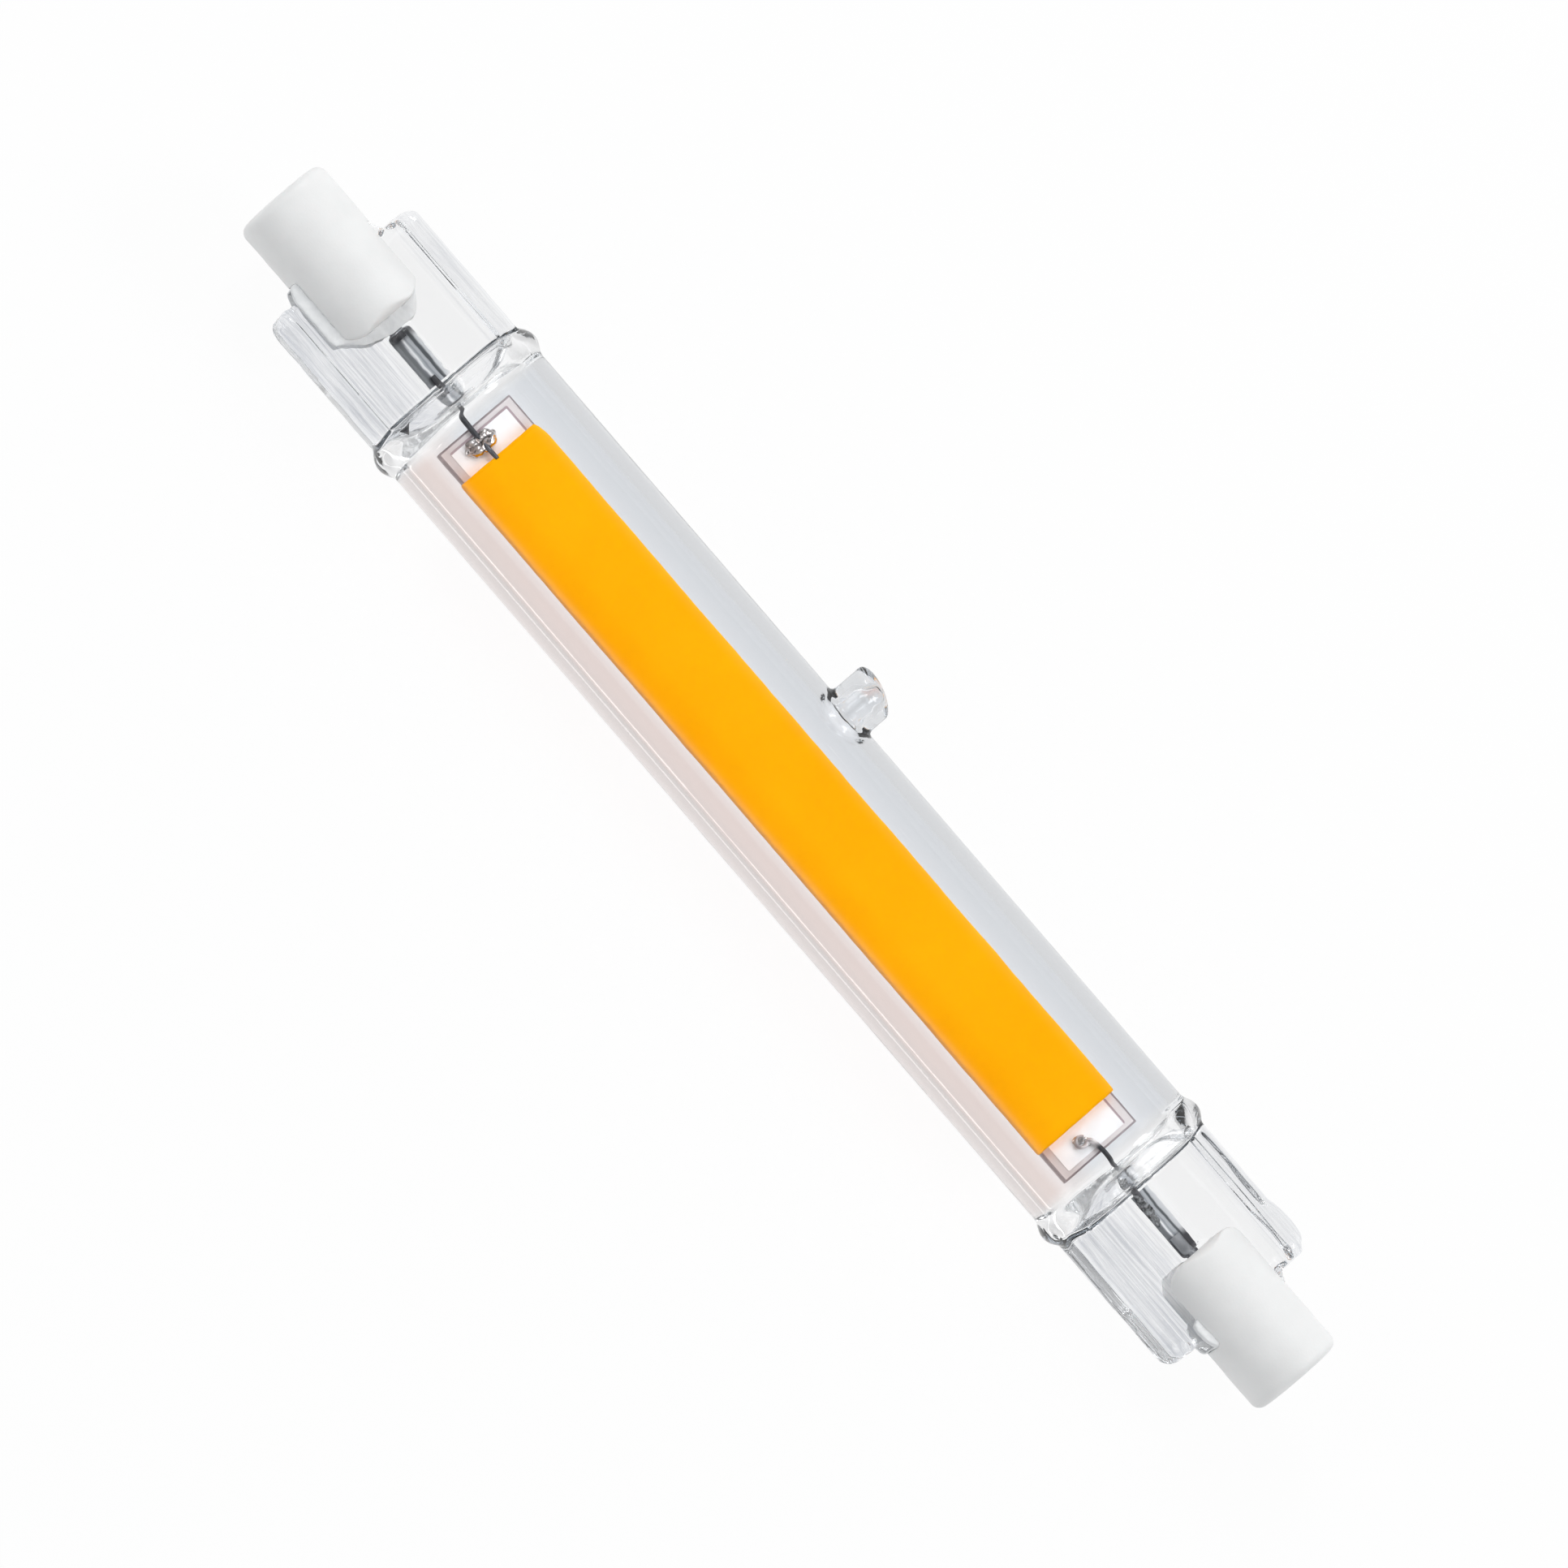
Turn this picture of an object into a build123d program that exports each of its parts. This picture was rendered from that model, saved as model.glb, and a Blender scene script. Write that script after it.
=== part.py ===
from build123d import *
import math
import os

# Double-ended linear lamp: a light strip sealed in a glass tube, with a ceramic cap on each pressed end.
# Sizes are in millimetres. X runs along the tube, the light strip faces +Z, and the sealed filling tip
# points to +Y and a little up. The origin is the middle of the tube, on its axis.

# Whole lamp
overall_length = 117.6

# Glass tube
tube_diameter = 14.5
tube_wall = 1.1

# Shoulders, where the soft tube was pressed from round to flat
shoulder_length = 3.0
shoulder_bulge = 1.3
shoulder_blend = 0.4
shoulder_waist = 3.9
shoulder_steps = 4
cavity_reach = 1.35
cavity_slit = 0.9
cavity_end_flare = 0.04
cavity_steps = 3

# Pressed ends: a thin web between two ribs, with a round ridge over the lead on each face
pinch_width = 14.1
pinch_length = 11.9
rib_thickness = 4.2
rib_width = 1.8
rib_rounding = 0.9
rib_corner = 1.0
web_thickness = 2.6
web_overhang = 0.9
web_tip_inset = 0.1
press_draft = 22.0
ridge_width = 2.3
ridge_height = 0.7
ridge_gap = 0.3
left_roll = 5.0
right_roll = -5.0

# Filling tip, sealed off beside the middle of the tube
tip_position = -1.25
tip_bore = 1.9
tip_side_wall = 1.17
tip_end_wall = 1.2
tip_height = 3.2
tip_flare = 0.6
tip_lean = 21.0
tip_crown = 0.9
tip_crown_angles = (0.0, 37.0, 64.0)
tip_crown_slant = 10.0
tip_crown_shift = 0.3
tip_bore_end = 0.8

# Ceramic caps
cap_diameter = 7.95
cap_base_length = 5.8
cap_slot_depth = 6.5
cap_rounding = 0.8
prong_corner = 2.2
prong_slope = 1.0
lead_hole_clearance = 0.15

# Recessed contacts
recess_diameter = 3.6
recess_depth = 1.7
contact_diameter = 2.6
contact_thickness = 0.6
contact_clearance = 0.05
contact_shank = 2.0
contact_shank_length = 1.6

# Cement between the caps and the pressed glass
cement_bed = 0.2
cement_collar_height = 0.6
cement_collar_side = 0.15
cement_nose = 1.4
cement_nose_rounding = 3.4

# Leads and seal foils
inner_lead_diameter = 0.4
outer_lead_diameter = 0.6
foil_length = 5.0
foil_width = 1.1
foil_thickness = 0.1
foil_inset = 0.3
weld_length = 0.7
lead_bend_start = 0.3
lead_bend_length = 0.6
lead_bend_steps = 2
left_lead_offset = -0.45
right_lead_offset = 0.1
left_lead_stop = 0.15
hook_stop = 1.3
hook_radius = 0.5
hook_turn = 200.0
hook_steps = 4

# Light strip
strip_end_gap = 2.15
strip_width = 7.3
strip_thickness = 1.0
pad_zone = 2.9
pad_side_inset = 0.75
pad_end_inset = 0.5
pad_thickness = 0.05
phosphor_overhang = 0.1
phosphor_height = 0.9
phosphor_corner = 0.35
phosphor_crown = 0.4

# Chips and tracks under the phosphor
chip_length = 1.1
chip_width = 0.7
chip_thickness = 0.2
chips_in_row = 14
row_spacing = 2.4
chip_margin = 5.0
driver_length = 2.2
driver_width = 2.0
driver_thickness = 0.35
driver_inset = 0.9
track_width = 0.5
track_edge = 0.6
track_thickness = 0.05
track_foot = 0.3

# Solder
solder_film = 0.06
left_solder_width = 1.75
left_solder_height = 0.7
left_solder_spread = 0.65
left_solder_inset = 1.5
right_solder_width = 1.8
right_solder_height = 0.4
bead_crown = 0.6

# Stations along half of the lamp, counted outwards from its middle
half_length = overall_length / 2
slot_floor = half_length - cap_base_length
cap_start = slot_floor - cap_slot_depth
web_end = slot_floor - cement_bed
rib_end = web_end - web_overhang
press_edge = rib_end - pinch_length
tube_end = press_edge - shoulder_length
cavity_diameter = tube_diameter - 2 * tube_wall
cavity_end = tube_end + cavity_reach
strip_half = cavity_end - strip_end_gap
phosphor_half = strip_half - pad_zone
foil_start = press_edge + foil_inset
foil_end = foil_start + foil_length
contact_face = half_length - recess_depth
contact_seat = contact_face - contact_thickness
cement_start = cap_start - cement_nose

# Levels through the light strip: the inner leads lie on the axis, a film of solder above the pads
pad_top = -inner_lead_diameter / 2 - solder_film
strip_top = pad_top - pad_thickness

# Widths that follow from others
tip_diameter = tip_bore + 2 * tip_side_wall
web_tip_width = cap_diameter - 2 * web_tip_inset
cap_slot_width = web_thickness + 2 * cement_bed
cement_collar_width = cap_diameter + 2 * cement_collar_side
lead_hole = outer_lead_diameter + 2 * lead_hole_clearance
pad_width = strip_width - 2 * pad_side_inset
phosphor_width = strip_width + 2 * phosphor_overhang
lead_offset = {"left": left_lead_offset, "right": right_lead_offset}

os.makedirs("parts", exist_ok=True)


def along(start, end, radius):
    """Round bar on the tube axis between two stations."""
    length = end - start
    return Pos(X=start + length / 2) * Rot(Y=90) * Cylinder(radius, length)


def slab(start, end, width, bottom, top):
    """Flat bar centred on the axis in Y."""
    size = Box(end - start, width, top - bottom)
    return Pos((start + end) / 2, 0, (bottom + top) / 2) * size


def at_end(side, shape, roll=0.0):
    """Carry a shape drawn outwards along +X to one end of the lamp."""
    if side == "left":
        return Rot(X=roll) * Rot(Z=180) * shape
    return Rot(X=roll) * shape


def shoulder_section(share):
    """Oval section of the outer glass, from the round tube to the pressed end."""
    station = tube_end + share * (shoulder_length + shoulder_blend)
    width = tube_diameter + (pinch_width - tube_diameter) * share
    width += shoulder_bulge * math.sin(math.pi * share)
    height = shoulder_waist + (tube_diameter - shoulder_waist) * math.cos(math.pi / 2 * share)
    return Plane.YZ.offset(station) * Ellipse(width / 2, height / 2)


def cavity_section(share):
    """Oval section of the hollow, which narrows to a slit at the pressed end."""
    reach = math.sin(math.pi / 2 * share)
    fall = math.cos(math.pi / 2 * share)
    width = cavity_diameter * (1 + cavity_end_flare * reach**4)
    height = cavity_slit + (cavity_diameter - cavity_slit) * fall
    return Plane.YZ.offset(tube_end + reach * cavity_reach) * Ellipse(width / 2, height / 2)


def oval_loft(section, steps):
    """Solid through evenly shared sections, from the round tube to the pressed end."""
    return loft([section(step / steps) for step in range(steps + 1)], ruled=True)


def pressed_block():
    """Outline of a pressed end, as thick as its ribs."""
    half_width = pinch_width / 2
    inner_half = half_width - rib_width
    start = press_edge - shoulder_length / 2
    outline = Polyline(
        (start, half_width),
        (rib_end, half_width),
        (rib_end, inner_half),
        (web_end, web_tip_width / 2),
        (web_end, -web_tip_width / 2),
        (rib_end, -inner_half),
        (rib_end, -half_width),
        (start, -half_width),
        close=True,
    )
    plan = make_face(outline)
    rib_middle = (half_width + inner_half) / 2
    corners = [v for v in plan.vertices() if abs(v.Y) > rib_middle and v.X > press_edge]
    plan = chamfer(corners, rib_corner)
    block = extrude(plan, rib_thickness / 2, both=True)
    rims = block.faces().sort_by(Axis.Z)
    return fillet(rims[0].edges() + rims[-1].edges(), rib_rounding)


def press_pocket(face):
    """Sloping-sided recess that the press leaves above or below the web."""
    length = 2 * pinch_length
    floor = Plane(origin=(press_edge, 0, face * web_thickness / 2), x_dir=(1, 0, 0), z_dir=(0, 0, face))
    plan = floor * Pos(X=length / 2) * Rectangle(length, pinch_width - 2 * rib_width)
    return extrude(plan, rib_thickness / 2, taper=-press_draft)


def ridge(face):
    """Round rib along one face of the web, over the lead."""
    radius = (ridge_width**2 / 4 + ridge_height**2) / (2 * ridge_height)
    centre = web_thickness / 2 + ridge_height - radius
    bar = along(press_edge - ridge_gap, cap_start - ridge_gap, radius)
    return Pos(Z=face * centre) * bar


def glass_end():
    """Solid glass of one end: shoulder, ribs, web and ridges."""
    glass = oval_loft(shoulder_section, shoulder_steps) + pressed_block()
    glass = glass - press_pocket(1) - press_pocket(-1)
    return glass + ridge(1) + ridge(-1)


def filling_tip():
    """Stub of the filling tube: flared root, straight neck and slanting melted crown."""
    surface = tube_diameter / 2
    sections = [
        Pos(Z=surface - tip_flare) * Circle(tip_diameter / 2 + tip_flare),
        Pos(Z=surface + tip_flare) * Circle(tip_diameter / 2),
    ]
    shoulder = surface + tip_height - tip_crown
    for angle in tip_crown_angles:
        rise = math.sin(math.radians(angle))
        place = Pos(X=-rise * tip_crown_shift, Z=shoulder + rise * tip_crown)
        radius = tip_diameter / 2 * math.cos(math.radians(angle))
        sections.append(place * Rot(Y=tip_crown_slant) * Circle(radius))
    return loft(sections, ruled=True)


def tip_hollow():
    """Hollow inside the filling tip, open to the tube and closed by a blunt cone."""
    radius = tip_bore / 2
    top = tube_diameter / 2 + tip_height - tip_end_wall - radius
    end = Cone(radius, tip_bore_end / 2, radius)
    return Pos(Z=top / 2) * Cylinder(radius, top) + Pos(Z=top + radius / 2) * end


def at_tip(shape):
    """Turn a shape drawn along +Z into the direction of the filling tip."""
    return Pos(X=tip_position) * Rot(X=tip_lean - 90) * shape


def weld_flat(start, end, diameter):
    """Half of a lead's end, taken off where it lies on the foil."""
    return slab(start, end, 2 * diameter, -diameter, 0)


def lead_bend(start, aside):
    """Points of a gentle double bend that carries a lead aside."""
    shares = [step / lead_bend_steps for step in range(lead_bend_steps + 1)]
    return [
        (start - lead_bend_length * share, aside * (1 - math.cos(math.pi * share)) / 2)
        for share in shares
    ]


def hook(stop, aside):
    """Points round the hook on the end of the right lead."""
    turns = [math.radians(90 + hook_turn * step / hook_steps) for step in range(1, hook_steps + 1)]
    middle = aside - hook_radius
    return [(stop + hook_radius * math.cos(t), middle + hook_radius * math.sin(t)) for t in turns]


def inner_lead(side):
    """Stiff wire from the seal foil to the solder on one end of the strip."""
    aside = -lead_offset[side] if side == "left" else lead_offset[side]
    weld_end = foil_start + weld_length
    stop = phosphor_half + (left_lead_stop if side == "left" else hook_stop)
    points = [(weld_end, 0)] + lead_bend(cavity_end - lead_bend_start, aside) + [(stop, aside)]
    if side == "right":
        points += hook(stop, aside)
    path = Polyline(*points)
    section = Plane(origin=path @ 0, z_dir=path % 0) * Circle(inner_lead_diameter / 2)
    wire = sweep(section, path=path, transition=Transition.RIGHT)
    return at_end(side, wire - weld_flat(foil_start, weld_end, inner_lead_diameter))


def outer_lead():
    """Lead from the seal foil through the cap into the contact."""
    weld_start = foil_end - weld_length
    wire = along(weld_start, contact_seat, outer_lead_diameter / 2)
    return wire - weld_flat(weld_start, foil_end, outer_lead_diameter)


def foil():
    """Thin foil in the middle of the web, under the flattened ends of both leads."""
    return slab(foil_start, foil_end, foil_width, -foil_thickness, 0)


def cap_blank():
    """Ceramic cylinder with a rounded outer end and rounded prongs."""
    radius = cap_diameter / 2
    bevel = cap_rounding * (1 - math.sin(math.pi / 4))
    profile = Polyline(
        (cap_start, 0),
        (cap_start, radius),
        (half_length - cap_rounding, radius),
        (half_length - bevel, radius - bevel),
        (half_length, radius - cap_rounding),
        (half_length, 0),
        close=True,
    )
    bar = revolve(make_face(profile), Axis.X)
    middle = (cap_start + half_length) / 2
    outline = Pos(X=middle) * Rectangle(half_length - cap_start, cap_diameter)
    inner_corners = outline.vertices().group_by(Axis.X)[0]
    plan = extrude(fillet(inner_corners, prong_corner), cap_diameter, both=True)
    side = extrude(fillet(inner_corners, prong_slope), cap_diameter, both=True)
    return bar & plan & (Rot(X=90) * side)


def ceramic_cap():
    """Cap with its slot for the web, its contact recess and the holes behind it."""
    half_slot = cap_slot_width / 2
    slot = slab(cap_start - cap_slot_depth, slot_floor, 2 * cap_diameter, -half_slot, half_slot)
    recess = along(contact_face, half_length + recess_depth, recess_diameter / 2)
    seat = along(contact_seat, contact_face, contact_diameter / 2 + contact_clearance)
    socket_radius = contact_shank / 2 + contact_clearance
    socket = along(contact_seat - contact_shank_length, contact_seat, socket_radius)
    hole = along(cap_start, contact_seat, lead_hole / 2)
    return cap_blank() - slot - recess - seat - socket - hole


def contact():
    """Round contact with a hollow shank crimped on the lead."""
    disc = along(contact_seat, contact_face, contact_diameter / 2)
    shank = along(contact_seat - contact_shank_length, contact_seat, contact_shank / 2)
    return disc + shank - outer_lead()


def cement(glass):
    """Cement bed in the slot, with a round-nosed collar round the prongs."""
    length = slot_floor - cement_start
    plan = Pos(X=cement_start + length / 2) * Rectangle(length, cement_collar_width)
    plan = fillet(plan.vertices().group_by(Axis.X)[0], cement_nose_rounding)
    collar = extrude(plan, web_thickness / 2 + cement_collar_height, both=True)
    return collar - glass - ceramic_cap() - outer_lead()


def bead(width, height, place, aside):
    """Low round drop of solder standing on a pad."""
    drop = Cone(width / 2, bead_crown * width / 2, height)
    return Pos(place, aside, pad_top + height / 2) * drop


def left_solder():
    """Two lobes that meet over the end of the left lead."""
    place = -(phosphor_half + left_solder_inset)
    sides = (left_lead_offset - left_solder_spread, left_lead_offset + left_solder_spread)
    lobes = [bead(left_solder_width, left_solder_height, place, aside) for aside in sides]
    return lobes[0] + lobes[1] - inner_lead("left")


def right_solder():
    """One low drop inside the hook of the right lead."""
    place = phosphor_half + hook_stop
    drop = bead(right_solder_width, right_solder_height, place, right_lead_offset - hook_radius)
    return drop - inner_lead("right")


def pad():
    """Metal pad on one end of the strip, up to the phosphor."""
    return slab(phosphor_half, strip_half - pad_end_inset, pad_width, strip_top, pad_top)


def track():
    """Conductor under one long edge of the phosphor, with a foot that meets the pad's end."""
    top = strip_top + track_thickness
    reach = strip_width / 2 - track_edge
    run = slab(chip_margin - phosphor_half, phosphor_half, track_width, strip_top, top)
    foot = slab(phosphor_half - track_foot, phosphor_half, reach, strip_top, top)
    return Pos(Y=reach - track_width / 2) * run + Pos(Y=reach / 2) * foot


def driver_chip():
    """Larger chip between the light chips and one pad."""
    end = phosphor_half - driver_inset
    return slab(end - driver_length, end, driver_width, strip_top, strip_top + driver_thickness)


def led_chips():
    """Two rows of light chips, spaced evenly between the driver chips."""
    reach = phosphor_half - chip_margin
    pitch = 2 * reach / (chips_in_row - 1)
    chip = slab(-chip_length / 2, chip_length / 2, chip_width, strip_top, strip_top + chip_thickness)
    aside = row_spacing / 2
    return [
        Pos(X=place * pitch - reach, Y=row * aside) * chip
        for row in (-1, 1)
        for place in range(chips_in_row)
    ]


def phosphor(covered):
    """Soft-edged gel strip moulded over the chips and tracks."""
    plan = Rectangle(2 * phosphor_half, phosphor_width)
    plan = chamfer(plan.vertices(), phosphor_corner)
    gel = extrude(Pos(Z=strip_top) * plan, phosphor_height)
    gel = fillet(gel.faces().sort_by(Axis.Z)[-1].edges(), phosphor_crown)
    for piece in covered:
        gel = gel - piece
    return gel


parts = {}
rolls = {"left": left_roll, "right": right_roll}
end_glass = glass_end()

# Ends: leads, foils, contacts, caps and cement
for side, roll in rolls.items():
    parts[side + "_foil"] = at_end(side, foil(), roll)
    parts[side + "_inner_lead"] = inner_lead(side)
    parts[side + "_outer_lead"] = at_end(side, outer_lead(), roll)
    parts[side + "_contact"] = at_end(side, contact(), roll)
    parts[side + "_ceramic_cap"] = at_end(side, ceramic_cap(), roll)
    parts[side + "_cement"] = at_end(side, cement(end_glass), roll)

# Glass, moulded around the leads and foils
envelope = along(-tube_end, tube_end, tube_diameter / 2) + at_tip(filling_tip())
hollow = along(-tube_end, tube_end, cavity_diameter / 2) + at_tip(tip_hollow())
hollow_end = oval_loft(cavity_section, cavity_steps)
for side, roll in rolls.items():
    envelope = envelope + at_end(side, end_glass, roll)
    hollow = hollow + at_end(side, hollow_end, roll)
envelope = envelope - hollow
for side in rolls:
    for piece in ("_foil", "_outer_lead", "_inner_lead"):
        envelope = envelope - parts[side + piece]
parts["glass_envelope"] = envelope

# Light strip
parts["led_substrate"] = slab(-strip_half, strip_half, strip_width, strip_top - strip_thickness, strip_top)
parts["left_pad"] = at_end("left", pad())
parts["right_pad"] = at_end("right", pad())
parts["left_solder"] = left_solder()
parts["right_solder"] = right_solder()
covered = {
    "left_track": at_end("left", track()),
    "right_track": at_end("right", track()),
    "bridge_rectifier_chip": at_end("left", driver_chip()),
    "current_regulator_chip": at_end("right", driver_chip()),
}
for number, chip in enumerate(led_chips(), start=1):
    covered[f"led_chip_{number:02d}"] = chip
parts["phosphor_layer"] = phosphor(covered.values())
parts.update(covered)

for name, shape in parts.items():
    export_step(shape, f"parts/{name}.step")
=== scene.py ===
import math
import bpy
from mathutils import Euler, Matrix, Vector, noise


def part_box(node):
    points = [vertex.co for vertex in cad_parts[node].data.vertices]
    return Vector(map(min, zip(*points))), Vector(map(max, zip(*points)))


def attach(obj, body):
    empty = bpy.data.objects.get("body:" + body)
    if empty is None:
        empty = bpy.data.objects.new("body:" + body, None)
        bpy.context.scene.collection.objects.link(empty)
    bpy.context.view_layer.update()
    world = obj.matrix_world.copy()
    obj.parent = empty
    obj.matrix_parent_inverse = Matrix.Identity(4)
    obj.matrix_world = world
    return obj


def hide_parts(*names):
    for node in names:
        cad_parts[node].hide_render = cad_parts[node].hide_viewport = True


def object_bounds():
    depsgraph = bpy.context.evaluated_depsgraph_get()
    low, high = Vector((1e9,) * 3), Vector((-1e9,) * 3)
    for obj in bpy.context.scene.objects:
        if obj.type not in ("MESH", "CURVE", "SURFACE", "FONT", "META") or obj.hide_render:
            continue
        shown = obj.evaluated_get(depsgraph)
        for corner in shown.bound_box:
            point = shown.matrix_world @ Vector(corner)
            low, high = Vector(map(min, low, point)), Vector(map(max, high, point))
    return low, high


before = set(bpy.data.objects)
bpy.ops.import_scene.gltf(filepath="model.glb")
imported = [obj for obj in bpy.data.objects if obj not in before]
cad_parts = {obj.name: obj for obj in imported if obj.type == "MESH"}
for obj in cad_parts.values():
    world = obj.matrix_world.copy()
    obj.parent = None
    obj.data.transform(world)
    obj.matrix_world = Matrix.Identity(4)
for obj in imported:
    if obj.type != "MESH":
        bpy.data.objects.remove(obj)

# noise_vector would give new values on each run without a seed
noise.seed_set(5)

cadBox = [list(corner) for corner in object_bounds()]

# Sizes are in millimetres, taken from the frame where a piece has to meet another.
# X runs along the tube, Y points to the sealed tip, Z out of the face of the light strip.
mm = 0.001


def boxOf(node):
    low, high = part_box(node)
    return low / mm, high / mm


def clearSelection():
    if bpy.context.mode != "OBJECT":
        bpy.ops.object.mode_set(mode="OBJECT")
    bpy.ops.object.select_all(action="DESELECT")


def justMade(name):
    piece = bpy.context.object
    piece.name = piece.data.name = name
    return piece


def workOn(piece):
    clearSelection()
    piece.select_set(True)
    bpy.context.view_layer.objects.active = piece


def applyModifier(piece, kind, **settings):
    workOn(piece)
    step = piece.modifiers.new(kind.lower(), kind)
    for key, value in settings.items():
        setattr(step, key, value)
    bpy.ops.object.modifier_apply(modifier=step.name)


def combine(piece, other, operation, solver="EXACT"):
    # MANIFOLD is the safer solver between closed, finely meshed pieces
    applyModifier(piece, "BOOLEAN", operation=operation, solver=solver, object=other)
    bpy.data.objects.remove(other)


def cut(piece, cutter, solver="EXACT"):
    combine(piece, cutter, "DIFFERENCE", solver)


def melt(piece, voxel, rounds, factor=0.5):
    # even mesh with softened edges, as on pressed glass, fired clay or solder
    applyModifier(piece, "REMESH", mode="VOXEL", voxel_size=voxel)
    applyModifier(piece, "SMOOTH", factor=factor, iterations=rounds)


def editAll():
    bpy.ops.object.mode_set(mode="EDIT")
    bpy.ops.mesh.select_all(action="SELECT")


def endEdit():
    bpy.ops.object.mode_set(mode="OBJECT")


def deselect(piece):
    for parts in (piece.data.polygons, piece.data.edges, piece.data.vertices):
        parts.foreach_set("select", [False] * len(parts))


def editVerts(piece, test):
    # edit the vertices whose place passes the test
    endEdit()
    deselect(piece)
    piece.data.vertices.foreach_set("select", [bool(test(v.co)) for v in piece.data.vertices])
    bpy.ops.object.mode_set(mode="EDIT")
    bpy.ops.mesh.select_mode(type="VERT")


def bevelEdges(piece, along, test, width, segments):
    # round a block's edges that run along one axis and pass the test with both ends
    index = "XYZ".index(along)
    deselect(piece)
    for edge in piece.data.edges:
        a, b = (piece.data.vertices[i].co for i in edge.vertices)
        edge.select = abs(a[index] - b[index]) > 0.01 and test(a) and test(b)
    bpy.ops.object.mode_set(mode="EDIT")
    bpy.ops.mesh.select_mode(type="EDGE")
    bpy.ops.mesh.bevel(offset=width, segments=segments, affect="EDGES")
    endEdit()


def outwards(piece):
    # end the edit with all faces turned outwards
    bpy.ops.mesh.select_all(action="SELECT")
    bpy.ops.mesh.normals_make_consistent(inside=False)
    endEdit()
    return piece


def ringLoft(name, sections, segments, capped=False):
    # one circle across X, pulled out and resized from section to section
    # a section is (station, half width in Y, half height in Z)
    clearSelection()
    station, halfWidth, halfHeight = sections[0]
    bpy.ops.mesh.primitive_circle_add(vertices=segments, radius=1, location=(station, 0, 0),
                                      rotation=(0, math.pi / 2, 0))
    piece = justMade(name)
    bpy.ops.object.transform_apply()
    editAll()
    bpy.ops.transform.resize(value=(1, halfWidth, halfHeight), center_override=(station, 0, 0))
    if capped:
        bpy.ops.mesh.edge_face_add()
        bpy.ops.mesh.select_all(action="SELECT")
    for nextStation, nextWidth, nextHeight in sections[1:]:
        bpy.ops.mesh.extrude_region_move(
            TRANSFORM_OT_translate={"value": (nextStation - station, 0, 0)})
        bpy.ops.transform.resize(value=(1, nextWidth / halfWidth, nextHeight / halfHeight),
                                 center_override=(nextStation, 0, 0))
        station, halfWidth, halfHeight = nextStation, nextWidth, nextHeight
    return outwards(piece)


def rod(name, start, end, radius, segments=48):
    return ringLoft(name, [(start, radius, radius), (end, radius, radius)], segments, capped=True)


def wire(name, points, radii, resolution=10):
    # round wire along a smooth curve through these control points
    clearSelection()
    bpy.ops.curve.primitive_nurbs_path_add()
    piece = justMade(name)
    curve = piece.data
    curve.splines.clear()
    spline = curve.splines.new("NURBS")
    spline.points.add(len(points) - 1)
    for knot, place, radius in zip(spline.points, points, radii):
        knot.co = (*place, 1)
        knot.radius = radius
    spline.order_u = 3
    spline.use_endpoint_u = True
    spline.resolution_u = resolution
    curve.bevel_depth = 1
    curve.bevel_resolution = 6
    curve.use_fill_caps = True
    workOn(piece)
    bpy.ops.object.convert(target="MESH")
    editAll()
    bpy.ops.mesh.remove_doubles(threshold=0.0005)
    return outwards(piece)


def drop(name, centre, radii, segments=32):
    # rounded lump to be sculpted
    clearSelection()
    bpy.ops.mesh.primitive_uv_sphere_add(segments=segments, ring_count=segments // 2, radius=1,
                                         location=centre, scale=radii)
    piece = justMade(name)
    bpy.ops.object.transform_apply()
    return piece


def block(name, low, high):
    clearSelection()
    middle = [(a + b) / 2 for a, b in zip(low, high)]
    bpy.ops.mesh.primitive_cube_add(size=1, location=middle,
                                    scale=[b - a for a, b in zip(low, high)])
    piece = justMade(name)
    bpy.ops.object.transform_apply()
    return piece


def moveVerts(piece, shift):
    # small sculpted moves: shift gives each vertex its new place
    for v in piece.data.vertices:
        v.co = shift(v.co)
    piece.data.update()


def turnPiece(piece, angle, axis):
    workOn(piece)
    piece.rotation_euler = [math.radians(angle) if letter == axis else 0 for letter in "XYZ"]
    bpy.ops.object.transform_apply()


def copyPiece(piece, name):
    twin = piece.copy()
    twin.data = piece.data.copy()
    twin.name = twin.data.name = name
    bpy.context.collection.objects.link(twin)
    return twin


def joinPieces(pieces):
    clearSelection()
    for piece in pieces:
        piece.select_set(True)
    bpy.context.view_layer.objects.active = pieces[0]
    bpy.ops.object.join()
    return pieces[0]


def finishPiece(piece, slot, *nodes, smooth=None):
    # millimetres to metres, then shading and what the piece stands for
    workOn(piece)
    piece.scale = (mm, mm, mm)
    bpy.ops.object.transform_apply(location=True, rotation=True, scale=True)
    if smooth is None:
        bpy.ops.object.shade_smooth()
    else:
        bpy.ops.object.shade_smooth_by_angle(angle=math.radians(smooth))
    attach(piece, "root")
    if nodes:
        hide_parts(*nodes)
    clearSelection()
    return piece


# ---- materials ----

def shade(colour):
    # one number stands for a grey
    return (*colour, 1) if isinstance(colour, tuple) else (colour, colour, colour, 1)


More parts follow.
